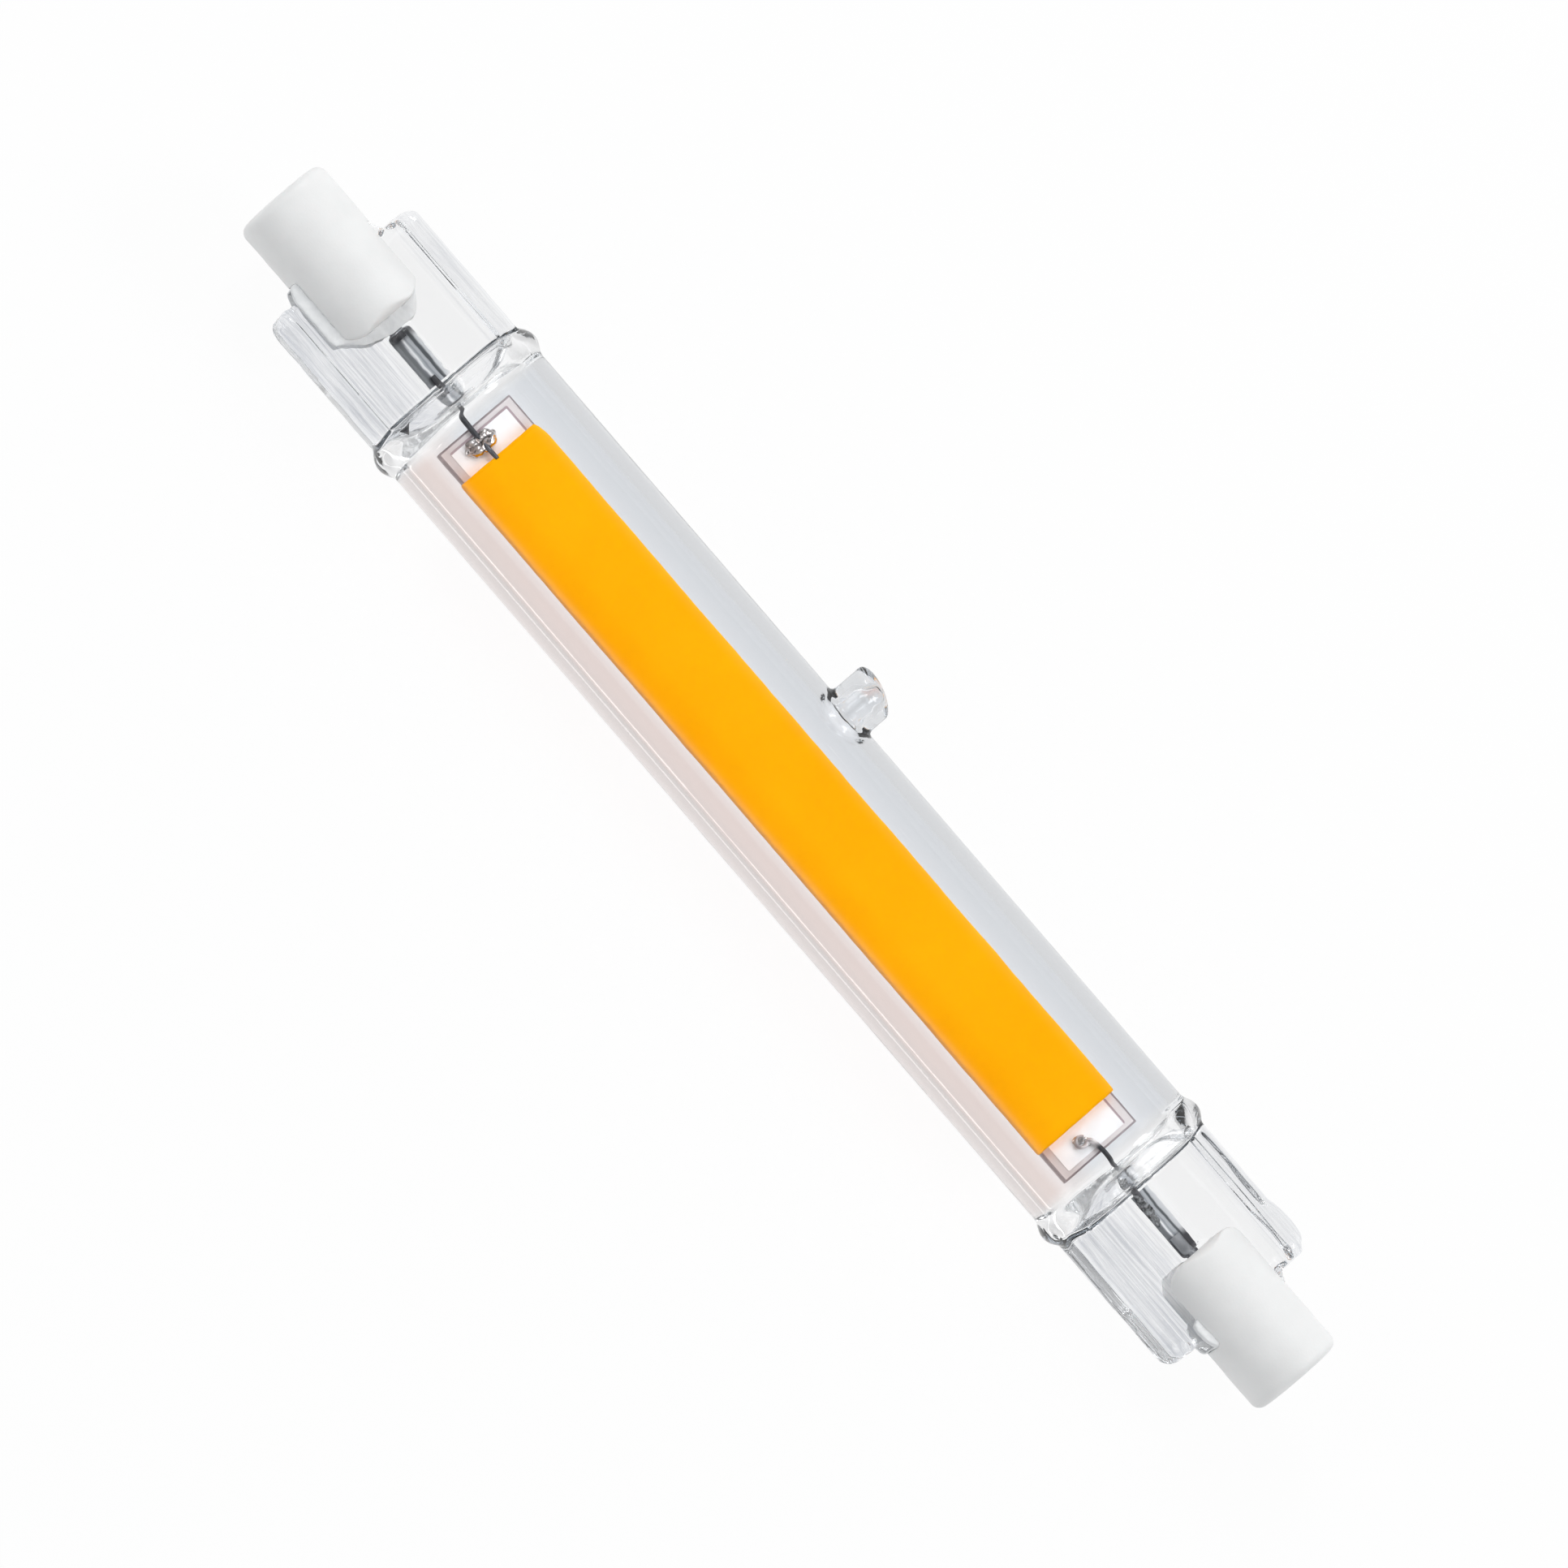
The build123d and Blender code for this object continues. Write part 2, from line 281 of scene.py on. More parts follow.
class Net:
    # the nodes of one material, or of the world
    def __init__(self, tree, coordinates):
        self.nodes, self.links = tree.nodes, tree.links
        self.place = self.node("TexCoord").outputs[coordinates]
        self.axes = self.node("SeparateXYZ", {0: self.place}).outputs

    def put(self, value, socket):
        # a number, a colour, a vector or the output of another node
        if isinstance(value, bpy.types.NodeSocket):
            self.links.new(value, socket)
        else:
            socket.default_value = shade(value) if socket.type == "RGBA" else value

    def node(self, kind, inputs=None, **settings):
        made = self.nodes.new("ShaderNode" + kind)
        for key, value in settings.items():
            setattr(made, key, value)
        for key, value in (inputs or {}).items():
            self.put(value, made.inputs[key])
        return made

    def maths(self, operation, *values):
        return self.node("Math", dict(enumerate(values)), operation=operation).outputs[0]

    def away(self, letter):
        # distance from the middle along one axis
        return self.maths("ABSOLUTE", self.axes[letter])

    def grain(self, scale, detail=4.0, stretch=(1, 1, 1), rough=0.55):
        # noise; scale counts its waves in a metre
        place = self.node("Mapping", {"Vector": self.place, "Scale": stretch}).outputs[0]
        return self.node("TexNoise", {"Vector": place, "Scale": scale, "Detail": detail,
                                      "Roughness": rough}).outputs["Fac"]

    def ramp(self, value, stops):
        band = self.node("ValToRGB", {"Fac": value})
        stops = [(place, shade(colour)) for place, colour in stops]
        first, last = band.color_ramp.elements
        first.position, first.color = stops[0]
        last.position, last.color = stops[-1]
        for place, colour in stops[1:-1]:
            band.color_ramp.elements.new(place).color = colour
        return band.outputs["Color"]

    def mixColours(self, share, low, high):
        # low where the share is 0 and high where it is 1
        return self.node("Mix", {0: share, 6: low, 7: high}, data_type="RGBA").outputs[2]

    def mixValues(self, share, low, high):
        return self.node("Mix", {0: share, 2: low, 3: high}).outputs[0]

    def spread(self, value, low, high, start=0, end=1):
        # a value between start and end carried to another range
        return self.node("MapRange", {"Value": value, "From Min": start, "From Max": end,
                                      "To Min": low, "To Max": high}).outputs["Result"]

    def byRay(self, camera, glass, other):
        # one value for what the camera sees, one through glass and in reflections, one for the rest
        rays = self.node("LightPath").outputs
        value = self.mixValues(rays["Is Glossy Ray"], other, glass)
        value = self.mixValues(rays["Is Transmission Ray"], value, glass)
        return self.mixValues(rays["Is Camera Ray"], value, camera)

    def nearEdges(self, node, width, sides):
        # 1 in a narrow band along these sides of a node's box, such as "-Y", and 0 elsewhere
        band = 0.0
        for sign, letter in sides:
            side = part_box(node)[sign == "+"]["XYZ".index(letter)]
            inwards = -width if sign == "+" else width
            share = self.spread(self.axes[letter], 1, 0, side + inwards, side + 1.3 * inwards)
            band = self.mixValues(share, band, 1.0)
        return band


class Finish(Net):
    # a material, with its own shader
    def __init__(self, name):
        self.finish = bpy.data.materials.new(name)
        self.finish.use_nodes = True
        super().__init__(self.finish.node_tree, "Object")
        self.shader = self.nodes["Principled BSDF"]

    def output(self, shader, socket="Surface"):
        self.links.new(shader.outputs[0], self.nodes["Material Output"].inputs[socket])

    def bump(self, height, strength, distance):
        relief = self.node("Bump", {"Height": height, "Strength": strength, "Distance": distance})
        self.put(relief.outputs[0], self.shader.inputs["Normal"])

    def roughen(self, scale, detail, low, high, strength, distance=0.00002, stretch=(1, 1, 1)):
        # a fine grain gives both the roughness, from low to high, and the relief
        fine = self.grain(scale, detail, stretch)
        self.put(self.spread(fine, low, high), self.shader.inputs["Roughness"])
        self.bump(fine, strength, distance)

    def letLightThrough(self, colour):
        # part of the lamps' light passes through and comes out in this colour
        shadow = self.node("LightPath").outputs["Is Shadow Ray"]
        soft = self.node("BsdfTransparent", {"Color": colour})
        self.output(self.node("MixShader", {0: shadow, 1: self.shader.outputs[0], 2: soft.outputs[0]}))

    def done(self, inputs):
        # values for the shader's own sockets
        for key, value in inputs.items():
            self.put(value, self.shader.inputs[key])
        return self.finish


def onPieces(finish, *names):
    for name in names:
        mesh = bpy.data.objects[name].data
        mesh.materials.clear()
        mesh.materials.append(finish)


glassLook = {
    "tubeTint": (0.95, 0.965, 0.985), "ior": 1.47, "shadow": (0.96, 0.965, 0.97),
    "depthColour": (0.50, 0.55, 0.60), "depth": 18.0,
    "paintedWarmReflection": (0.945, 0.885, 0.865), "warmFrom": -0.0042, "warmTo": -0.0026,
    "tubeEnd": 0.0362, "pressedFrom": 0.0374,
    "ripples": 900, "ripple": 0.12, "rippleHeight": 0.00003, "rippleStretch": (0.12, 1, 1),
    "pressFrom": 0.0392, "pressTo": 0.0404, "roughFrom": -0.0022, "roughTo": -0.0004,
    "ribFrom": 0.0050, "ribTo": 0.0054, "upperRib": 0.55,
    "lines": 3000, "lineStretch": (0.03, 1, 0.02), "lineRough": 0.75,
    "paintedLineStops": [(0.36, (0.60, 0.62, 0.66)), (0.56, (0.96, 0.965, 0.975))], "clearLine": (0.99, 0.99, 0.99),
    "gleamPlace": (-0.00167, 0.0092, 0.0036), "gleamReach": 0.0011, "gleam": (0.97, 0.80, 0.77),
}


def clearGlass():
    net, look = Finish("clearGlass"), glassLook
    # painted warm reflection: the side away from the tip is tinted in the colour of the gel strip's warm light
    low = net.spread(net.axes["Y"], 1, 0, look["warmFrom"], look["warmTo"])
    tube = net.mixColours(low, look["tubeTint"], look["paintedWarmReflection"])
    # a warm gleam painted into the glass colour in the crown of the tip
    away = net.node("VectorMath", {0: net.place, 1: look["gleamPlace"]}, operation="DISTANCE").outputs["Value"]
    gleam = net.spread(away, 1, 0, look["gleamReach"] * 0.5, look["gleamReach"])
    tube = net.mixColours(gleam, tube, look["gleam"])
    # grey lines of painted shade along the pressed ends, standing in for the darker surroundings that the drawn
    # lines in the glass would bend into view: strong on the ribs and on the web's -Y half, almost none above
    lines = net.ramp(net.grain(look["lines"], 5, look["lineStretch"], look["lineRough"]), look["paintedLineStops"])
    rough = net.spread(net.axes["Y"], 1, 0, look["roughFrom"], look["roughTo"])
    ribs = net.spread(net.away("Y"), 0, 1, look["ribFrom"], look["ribTo"])
    ribs = net.mixValues(rough, net.mixValues(ribs, 0.0, look["upperRib"]), ribs)
    pressed = net.spread(net.away("X"), 0, 1, look["pressFrom"], look["pressTo"])
    paintedLineShade = net.mixValues(pressed, 0.0, net.maths("MAXIMUM", rough, ribs))
    ends = net.mixColours(paintedLineShade, look["clearLine"], lines)
    onTube = net.spread(net.away("X"), 1, 0, look["tubeEnd"], look["pressedFrom"])
    net.bump(net.grain(look["ripples"], 3, look["rippleStretch"]), look["ripple"], look["rippleHeight"])
    net.letLightThrough(look["shadow"])
    net.output(net.node("VolumeAbsorption", {"Color": look["depthColour"], "Density": look["depth"]}), "Volume")
    return net.done({"Base Color": net.mixColours(onTube, ends, tube), "Roughness": 0.0, "IOR": look["ior"],
                     "Transmission Weight": 1})


ceramicLook = {"deep": (0.835, 0.835, 0.83), "pale": (0.88, 0.88, 0.875), "soft": 0.15,
               "softReach": (0.0006, 0.0005, 0.0005)}


def paleCeramic():
    net, look = Finish("paleCeramic"), ceramicLook
    net.roughen(5000, 5, 0.42, 0.58, 0.35, 0.00003)
    return net.done({"Base Color": net.ramp(net.grain(300, 6), [(0.3, look["deep"]), (0.7, look["pale"])]),
                     "Subsurface Weight": look["soft"], "Subsurface Radius": look["softReach"]})


cementLook = {"deep": (0.80, 0.81, 0.82), "pale": (0.90, 0.91, 0.91), "soft": 0.4,
              "softReach": (0.0008, 0.0008, 0.0008)}


def roughCement():
    net, look = Finish("roughCement"), cementLook
    net.roughen(2600, 6, 0.45, 0.75, 0.6, 0.00008)
    return net.done({"Base Color": net.ramp(net.grain(700, 7), [(0.3, look["deep"]), (0.7, look["pale"])]),
                     "Subsurface Weight": look["soft"], "Subsurface Radius": look["softReach"]})


def metalFinish(name, dark, pale, roughLow, roughHigh, scale, metallic=1.0, stretch=(1, 1, 1)):
    net = Finish(name)
    net.roughen(scale * 4, 4, roughLow, roughHigh, 0.2, stretch=stretch)
    return net.done({"Base Color": net.ramp(net.grain(scale, 5, stretch), [(0.35, dark), (0.65, pale)]),
                     "Metallic": metallic})


foilTint = {
    "stripesOfSheenAndShade": ((0.0, (0.14, 0.15, 0.16)), (0.40, (0.15, 0.16, 0.17)), (0.46, (0.20, 0.21, 0.23)),
                (0.50, (0.75, 0.76, 0.78)), (0.54, (0.88, 0.89, 0.90)), (0.58, (0.48, 0.50, 0.53)),
                (0.64, (0.30, 0.32, 0.35)), (0.70, (0.50, 0.52, 0.55)), (0.76, (0.46, 0.48, 0.51)),
                (0.79, (0.10, 0.11, 0.12)), (0.84, (0.10, 0.11, 0.12)), (0.88, (0.62, 0.64, 0.66)),
                (1.0, (0.75, 0.76, 0.78))),
    "half": 0.00055, "wander": 0.0003, "endFrom": 0.0443, "endTo": 0.0450, "end": (0.09, 0.09, 0.10),
}


def greyFoil():
    # grey metal with lines that wander a little along the foil: a pale line of painted highlight and dark lines of
    # painted shade where the glass ridge over the foil bends the light; and a dark outer end
    net, look = Finish("greyFoil"), foilTint
    lifted = net.maths("MULTIPLY_ADD", net.grain(900, 3, (0.3, 1, 1)), look["wander"], net.axes["Y"])
    middle = look["wander"] / 2
    across = net.spread(lifted, 0, 1, middle - look["half"], middle + look["half"])
    end = net.spread(net.away("X"), 0, 1, look["endFrom"], look["endTo"])
    net.roughen(3200, 4, 0.35, 0.55, 0.2, stretch=(0.15, 1, 1))
    return net.done({"Base Color": net.mixColours(end, net.ramp(across, look["stripesOfSheenAndShade"]), look["end"]),
                     "Metallic": 0.2})


leadTint = {
    "dark": (0.05, 0.05, 0.055), "pale": (0.14, 0.14, 0.15), "tinned": (0.82, 0.78, 0.77),
    "hook": (0.42, 0.37, 0.36), "tinnedFrom": 0.0358, "tinnedTo": 0.0353, "hookFrom": 0.03515, "hookTo": 0.0349,
    "drawn": (0.2, 1, 1),
}


def darkWire():
    # dark drawn wire, tinned where the right lead lies on its pad
    net, look = Finish("darkWire"), leadTint
    along = net.axes["X"]
    drawn = net.ramp(net.grain(700, 5, look["drawn"]), [(0.35, look["dark"]), (0.65, look["pale"])])
    onRight = net.spread(along, 0, 1, 0.0, 0.001)
    tinned = net.spread(along, 1, 0, look["tinnedTo"], look["tinnedFrom"])
    hook = net.spread(along, 1, 0, look["hookTo"], look["hookFrom"])
    solder = net.mixColours(hook, look["tinned"], look["hook"])
    net.roughen(2800, 4, 0.3, 0.5, 0.2, stretch=look["drawn"])
    return net.done({"Base Color": net.mixColours(net.mixValues(onRight, 0.0, tinned), drawn, solder),
                     "Metallic": 0.7})


gelLook = {
    "deep": (0.97, 0.405, 0.0), "pale": (1.0, 0.44, 0.001), "gloss": 0.03,
    "soft": 0.1, "softReach": (0.0008, 0.0004, 0.0001), "glow": (0.90, 0.52, 0.36),
}


def orangeGel():
    net, look = Finish("orangeGel"), gelLook
    net.roughen(1800, 4, 0.5, 0.65, 0.12, 0.00003)
    net.letLightThrough(look["glow"])
    return net.done({"Base Color": net.ramp(net.grain(90, 5), [(0.3, look["deep"]), (0.7, look["pale"])]),
                     "Specular IOR Level": look["gloss"], "Subsurface Weight": look["soft"],
                     "Subsurface Radius": look["softReach"]})


boardLook = {
    "deep": (0.74, 0.68, 0.67), "pale": (0.84, 0.78, 0.77), "edge": (0.30, 0.25, 0.26), "edgeWidth": 0.00014,
    "clear": 0.2, "glow": (0.88, 0.80, 0.78),
}


def paleBoard():
    net, look = Finish("paleBoard"), boardLook
    face = net.ramp(net.grain(500, 6), [(0.3, look["deep"]), (0.7, look["pale"])])
    band = net.nearEdges("led_substrate", look["edgeWidth"], ("-X", "+X", "-Y", "+Y"))
    net.roughen(3000, 4, 0.3, 0.45, 0.15)
    net.letLightThrough(look["glow"])
    return net.done({"Base Color": net.mixColours(band, face, look["edge"]),
                     "Transmission Weight": look["clear"]})


padLook = {"dull": (0.88, 0.87, 0.87), "pale": (0.97, 0.96, 0.96), "edge": (0.42, 0.33, 0.35), "edgeWidth": 0.00016}


def silverPad(side, edges):
    net, look = Finish(side + "SilverPad"), padLook
    face = net.ramp(net.grain(700, 5), [(0.3, look["dull"]), (0.6, look["pale"])])
    # a mauve band of painted shade along the pad's raised edges on the given sides
    band = net.nearEdges(side + "_pad", look["edgeWidth"], edges)
    net.roughen(3600, 4, 0.35, 0.5, 0.2)
    return net.done({"Base Color": net.mixColours(band, face, look["edge"])})


def dieFinish():
    net = Finish("bareDie")
    net.roughen(2500, 2, 0.15, 0.3, 0.1, 0.00001)
    return net.done({"Base Color": net.ramp(net.grain(2500, 2),
                                            [(0.4, (0.30, 0.42, 0.48)), (0.6, (0.42, 0.52, 0.56))])})


# ---- glass ----

glass = {
    "radius": 7.25, "inner": 6.15, "straightEnd": 37.0, "joint": 36.2, "bridge": 0.25, "segments": 192,
    "shoulderLength": 2.85, "bulge": 0.65, "pinchWidth": 14.1,
    "domeLength": 2.75, "plateau": 2.5, "foot": 1.95, "footInset": 0.02,
    "ribThickness": 4.2, "ribWidth": 1.8, "ribRound": 0.8, "ribCorner": 1.1, "webThickness": 2.6,
    "pressEdge": 39.75, "pocketSlope": 1.15, "pocketMiddle": 46, "pocketFar": 60,
    "ribEnd": 51.9, "webEnd": 52.8, "webTip": 7.75, "draft": 0.65,
    "ridgeWidth": 2.3, "ridgeHeight": 0.7, "ridgeEnd": {"left": 45.2, "right": 46.2},
    "slit": 2.1, "hollowReach": 1.8, "endFlare": 0.04,
    "voxel": 0.174, "melt": 4, "rolls": {"left": 5.0, "right": -5.0},
}
tip = {
    "place": -1.25, "lean": 21.0, "radius": 2.12, "bore": 1.0, "height": 3.14,
    "flare": 0.2, "crown": 0.95, "slant": 10.0, "crownShift": 0.3, "zone": 3.6,
    "root": ((-1.0, 1), (-0.55, 0.75), (-0.1, 0.3), (0.5, 0), (1.1, 0)),
    "boreRoot": ((-1.6, 1.6), (-0.25, 1.35), (0.15, 0.9), (0.5, 0.4), (0.85, 0.1), (1.2, 0), (2.6, 0)),
    "boreEnd": ((3.2, 0.7), (3.4, 0.3)),
}


def shoulderWidth(station):
    share = min(1, (station - glass["straightEnd"]) / glass["shoulderLength"])
    width = glass["radius"] + (glass["pinchWidth"] / 2 - glass["radius"]) * share
    return width + glass["bulge"] * math.sin(math.pi * share)


def shoulderSections():
    # a steep dome at the end of the round tube, then a low plateau up to the pressed end
    steps = 14
    start, radius, plateau = glass["straightEnd"], glass["radius"], glass["plateau"]
    sections = [(glass["joint"] - 0.6, radius, radius), (start, radius, radius)]
    for step in range(1, steps + 1):
        angle = math.pi / 2 * step / steps
        station = start + glass["domeLength"] * math.sin(angle)
        height = plateau + (radius - plateau) * math.cos(angle)
        sections.append((station, shoulderWidth(station), height))
    end = start + glass["shoulderLength"]
    sections.append((end, shoulderWidth(end) - glass["footInset"], glass["foot"]))
    return sections


def ridgeRod(start, end, face, gap=0.0):
    # rod whose back stands up from one face of the web, over the lead
    high = glass["ridgeHeight"]
    radius = (glass["ridgeWidth"] ** 2 / 4 + high ** 2) / (2 * high)
    ridge = rod("ridge", start, end, radius + gap)
    workOn(ridge)
    ridge.location.z = face * (glass["webThickness"] / 2 + high - radius)
    bpy.ops.object.transform_apply()
    return ridge


def pressedEnd(name, ridgeEnd):
    # solid pressed end towards +X, before it is rolled
    half = glass["pinchWidth"] / 2
    inner = half - glass["ribWidth"]
    rib = glass["ribThickness"] / 2
    web = glass["webThickness"] / 2
    shoulder = ringLoft(name, shoulderSections(), 96, capped=True)
    pinch = block("pinch", (glass["pressEdge"] - 2, -half, -rib), (glass["ribEnd"], half, rib))
    bevelEdges(pinch, "Z", lambda co: co.x > glass["pocketMiddle"], glass["ribCorner"], 4)
    applyModifier(pinch, "BEVEL", width=glass["ribRound"], segments=4, limit_method="ANGLE",
                  angle_limit=math.radians(60))
    # a pocket with sloping sides is pressed into each face
    for face in (-1, 1):
        pocket = block("pocket", (glass["pressEdge"], -inner, face * web),
                       (glass["pocketFar"], inner, face * (web + 2)))
        editVerts(pocket, lambda co: abs(co.z) > web + 1)
        bpy.ops.transform.resize(value=(1, glass["pocketSlope"], 1),
                                 center_override=(glass["pocketMiddle"], 0, face * web))
        bpy.ops.transform.translate(value=(-glass["draft"], 0, 0))
        endEdit()
        cut(pinch, pocket)
    # the web runs on past the ribs and narrows
    tongue = block("web", (glass["ribEnd"] - 3, -inner, -web), (glass["webEnd"], inner, web))
    editVerts(tongue, lambda co: co.x > glass["ribEnd"])
    bpy.ops.transform.resize(value=(1, glass["webTip"] / (2 * inner), 1),
                             center_override=(glass["webEnd"], 0, 0))
    endEdit()
    combine(pinch, tongue, "UNION")
    for face in (-1, 1):
        combine(pinch, ridgeRod(glass["pressEdge"] - 0.6, ridgeEnd, face), "UNION")
    combine(shoulder, pinch, "UNION")
    melt(shoulder, glass["voxel"], glass["melt"])
    return shoulder


press = {
    "fine": 0.035, "coarse": 0.06, "clearSide": 0.25, "edge": 1.2, "edgeWave": 0.07,
    "flare": 0.32, "flareMiddle": 49.3, "flareReach": 2.2, "lumps": 0.14, "lumpsFrom": 50.3, "lumpsAside": 4.2,
}


def striate(piece, seed, lowSide, flared):
    # drawn lines along the pressed glass, deep on one half of the web and on the ribs, faint on the other
    # lowSide says which way in Y the rough half lies before the end is turned to its place
    half = glass["pinchWidth"] / 2

    def shift(co):
        if co.x < glass["pressEdge"] - 0.5:
            return co
        face = math.copysign(1, co.z)
        fade = min(1, (co.x - glass["pressEdge"] + 0.5) / 1.2)
        aside = co.y * lowSide
        rough = press["clearSide"] + (1 - press["clearSide"]) * min(1, max(0, (aside - 0.8) / 1.2))
        if abs(co.y) > half - glass["ribWidth"] - 0.2:
            rough = 1
        depth = press["coarse"] * noise.noise(Vector((co.x * 0.10 + seed, co.y * 1.7, face * 5)))
        depth += press["fine"] * noise.noise(Vector((co.x * 0.22 + seed, co.y * 5.0, face * 9)))
        depth *= rough * fade
        y, z = co.y, co.z + face * depth
        past = (abs(co.y) - half + press["edge"]) / press["edge"]
        if past > 0:
            out = math.copysign(1, co.y)
            y += out * press["edgeWave"] * noise.noise(Vector((co.x * 0.45 + seed, out * 3, 0)))
            if flared and aside < 0:
                bulge = max(0, 1 - ((co.x - press["flareMiddle"]) / press["flareReach"]) ** 2)
                y += out * press["flare"] * bulge * past
        ending = min(1, max(0, co.x - press["lumpsFrom"]))
        if ending and abs(co.y) > press["lumpsAside"]:
            lump = noise.noise_vector(Vector((co.x * 1.3 + seed, co.y * 1.3, co.z * 1.3)))
            return Vector((co.x, y, z)) + press["lumps"] * ending * lump
        return Vector((co.x, y, z))
    moveVerts(piece, shift)


def openEnd(piece, station, above):
    # cut off all that lies on one side of a station along X and leave the edge open
    workOn(piece)
    editAll()
    bpy.ops.mesh.bisect(plane_co=(station, 0, 0), plane_no=(1, 0, 0),
                        clear_outer=above, clear_inner=not above)
    endEdit()


def tipStub(name, sections, crownBase):
    # round stub drawn along X by ringLoft, then stood up along the tip's direction
    # above crownBase it leans over and slopes down towards +X, as the drop of glass set
    stub = ringLoft(name, [(station, width, width) for station, width in sections], 64, capped=True)
    slope = math.tan(math.radians(tip["slant"]))

    def shift(co):
        rise = (co.x - crownBase) / tip["crown"]
        if rise < -0.8:
            return co
        share = min(1, (rise + 0.8) / 1.2)
        return Vector((co.x + share * slope * co.z, co.y, co.z + max(0, rise) * tip["crownShift"]))
    moveVerts(stub, shift)
    workOn(stub)
    stub.rotation_euler = (0, -math.pi / 2, 0)
    bpy.ops.object.transform_apply()
    turnPiece(stub, tip["lean"] - 90, "X")
    workOn(stub)
    stub.location.x = tip["place"]
    bpy.ops.object.transform_apply()
    return stub


def outerTip():
    radius, base = tip["radius"], glass["radius"]
    crownBase = base + tip["height"] - tip["crown"]
    sections = [(base + above, radius + share * tip["flare"]) for above, share in tip["root"]]
    for step in range(9):
        angle = math.radians(step * 8.5)
        rise = math.sin(angle) / math.sin(math.radians(68))
        sections.append((crownBase + tip["crown"] * rise, radius * math.cos(angle)))
    return tipStub("tipOuter", sections, crownBase)


def innerTip():
    # the bore opens widely into the tube, so light comes through the tip's root
    radius, base = tip["bore"], glass["inner"]
    sections = [(base + above, radius + wider) for above, wider in tip["boreRoot"]]
    sections += [(base + above, share * radius) for above, share in tip["boreEnd"]]
    return tipStub("tipInner", sections, 20)


def tubeMiddle(name, radius, stub):
    # short length of tube with the tip's root melted on, open at both ends
    zone = tip["zone"]
    middle = rod(name, tip["place"] - zone - 1, tip["place"] + zone + 1, radius, glass["segments"])
    combine(middle, stub, "UNION")
    melt(middle, glass["voxel"], glass["melt"])
    openEnd(middle, tip["place"] + zone, True)
    openEnd(middle, tip["place"] - zone, False)
    return middle


def bridgeRings(piece, stations):
    # close each short gap between two open edges
    workOn(piece)
    for station in stations:
        editOpenEdges(piece, station)
        bpy.ops.mesh.bridge_edge_loops()
    outwards(piece)


def editOpenEdges(piece, station):
    # edit the open edges within half a millimetre of a station
    bpy.ops.object.mode_set(mode="EDIT")
    bpy.ops.mesh.select_all(action="DESELECT")
    bpy.ops.mesh.select_mode(type="EDGE")
    bpy.ops.mesh.select_non_manifold(extend=False, use_wire=False, use_multi_face=False,
                                     use_non_contiguous=False, use_verts=False)
    endEdit()
    verts = piece.data.vertices
    chosen = [edge.select and all(abs(verts[i].co.x - station) < 0.5 for i in edge.vertices)
              for edge in piece.data.edges]
    deselect(piece)
    piece.data.edges.foreach_set("select", chosen)
    bpy.ops.object.mode_set(mode="EDIT")


def hollowSections():
    steps = 16
    sections = []
    for step in range(steps + 1):
        angle = math.pi / 2 * step / steps
        reach = math.sin(angle)
        width = glass["inner"] * (1 + glass["endFlare"] * reach ** 4)
        height = glass["slit"] / 2 + (glass["inner"] - glass["slit"] / 2) * math.cos(angle)
        sections.append((glass["straightEnd"] + reach * glass["hollowReach"], width, height))
    return sections


def openTube(name, near, far, radius):
    # plain length of tube that stops short of its neighbours by the gap that is bridged later
    gap = math.copysign(glass["bridge"], far - near)
    return ringLoft(name, [(near + gap, radius, radius), (far - gap, radius, radius)], glass["segments"])


def glassEnvelope():
    outer = [tubeMiddle("glassEnvelope", glass["radius"], outerTip())]
    inner = [tubeMiddle("hollow", glass["inner"], innerTip())]
    joints = []
    for side, seed in (("left", 3.7), ("right", 11.2)):
        end = pressedEnd(side + "End", glass["ridgeEnd"][side])
        # the left end is turned half round, so its rough side starts on the other hand
        striate(end, seed, 1 if side == "left" else -1, side == "right")
        cap = ringLoft(side + "Hollow", hollowSections(), glass["segments"])
        if side == "left":
            turnPiece(end, 180, "Z")
            turnPiece(cap, 180, "Z")
        turnPiece(end, glass["rolls"][side], "X")
        turnPiece(cap, glass["rolls"][side], "X")
        sign = -1 if side == "left" else 1
        openEnd(end, sign * glass["joint"], side == "left")
        near = tip["place"] + sign * tip["zone"]
        joints.append(near + sign * glass["bridge"] / 2)
        outer += [end, openTube(side + "Tube", near, sign * glass["joint"], glass["radius"])]
        inner += [cap, openTube(side + "Bore", near, sign * glass["straightEnd"], glass["inner"])]
        fillHollowEnd(cap)
    envelope = joinPieces(outer)
    bridgeRings(envelope, joints + [-glass["joint"], glass["joint"]])
    hollow = joinPieces(inner)
    bridgeRings(hollow, joints + [-glass["straightEnd"], glass["straightEnd"]])
    workOn(hollow)
    editAll()
    bpy.ops.mesh.flip_normals()
    endEdit()
    envelope = joinPieces([envelope, hollow])
    return finishPiece(envelope, "glass", "glass_envelope")


def fillHollowEnd(cap):
    # close the slit at the end of the hollow
    workOn(cap)
    end = glass["straightEnd"] + glass["hollowReach"]
    editVerts(cap, lambda co: abs(abs(co.x) - end) < 0.01)
    bpy.ops.mesh.edge_face_add()
    endEdit()


print("glass")
glassEnvelope()

# ---- ends: caps, cement, contacts, foils and leads ----

def toEnd(piece, side):
    # a shape drawn outwards along +X goes to one end of the lamp and takes its roll
    if side == "left":
        turnPiece(piece, 180, "Z")
    turnPiece(piece, glass["rolls"][side], "X")
    return piece


cap = {
    "start": 46.5, "end": 58.8, "radius": 3.975, "rounding": 0.8, "slotFloor": 53.0, "slot": 3.0,
    "prongCorner": 2.2, "prongSlope": 1.0, "recess": 1.8, "recessDepth": 1.7, "seat": 1.35,
    "seatDepth": 0.6, "socket": 1.05, "socketDepth": 1.6, "leadHole": 0.45, "voxel": 0.11,
    "soften": 4, "hand": 0.035,
}


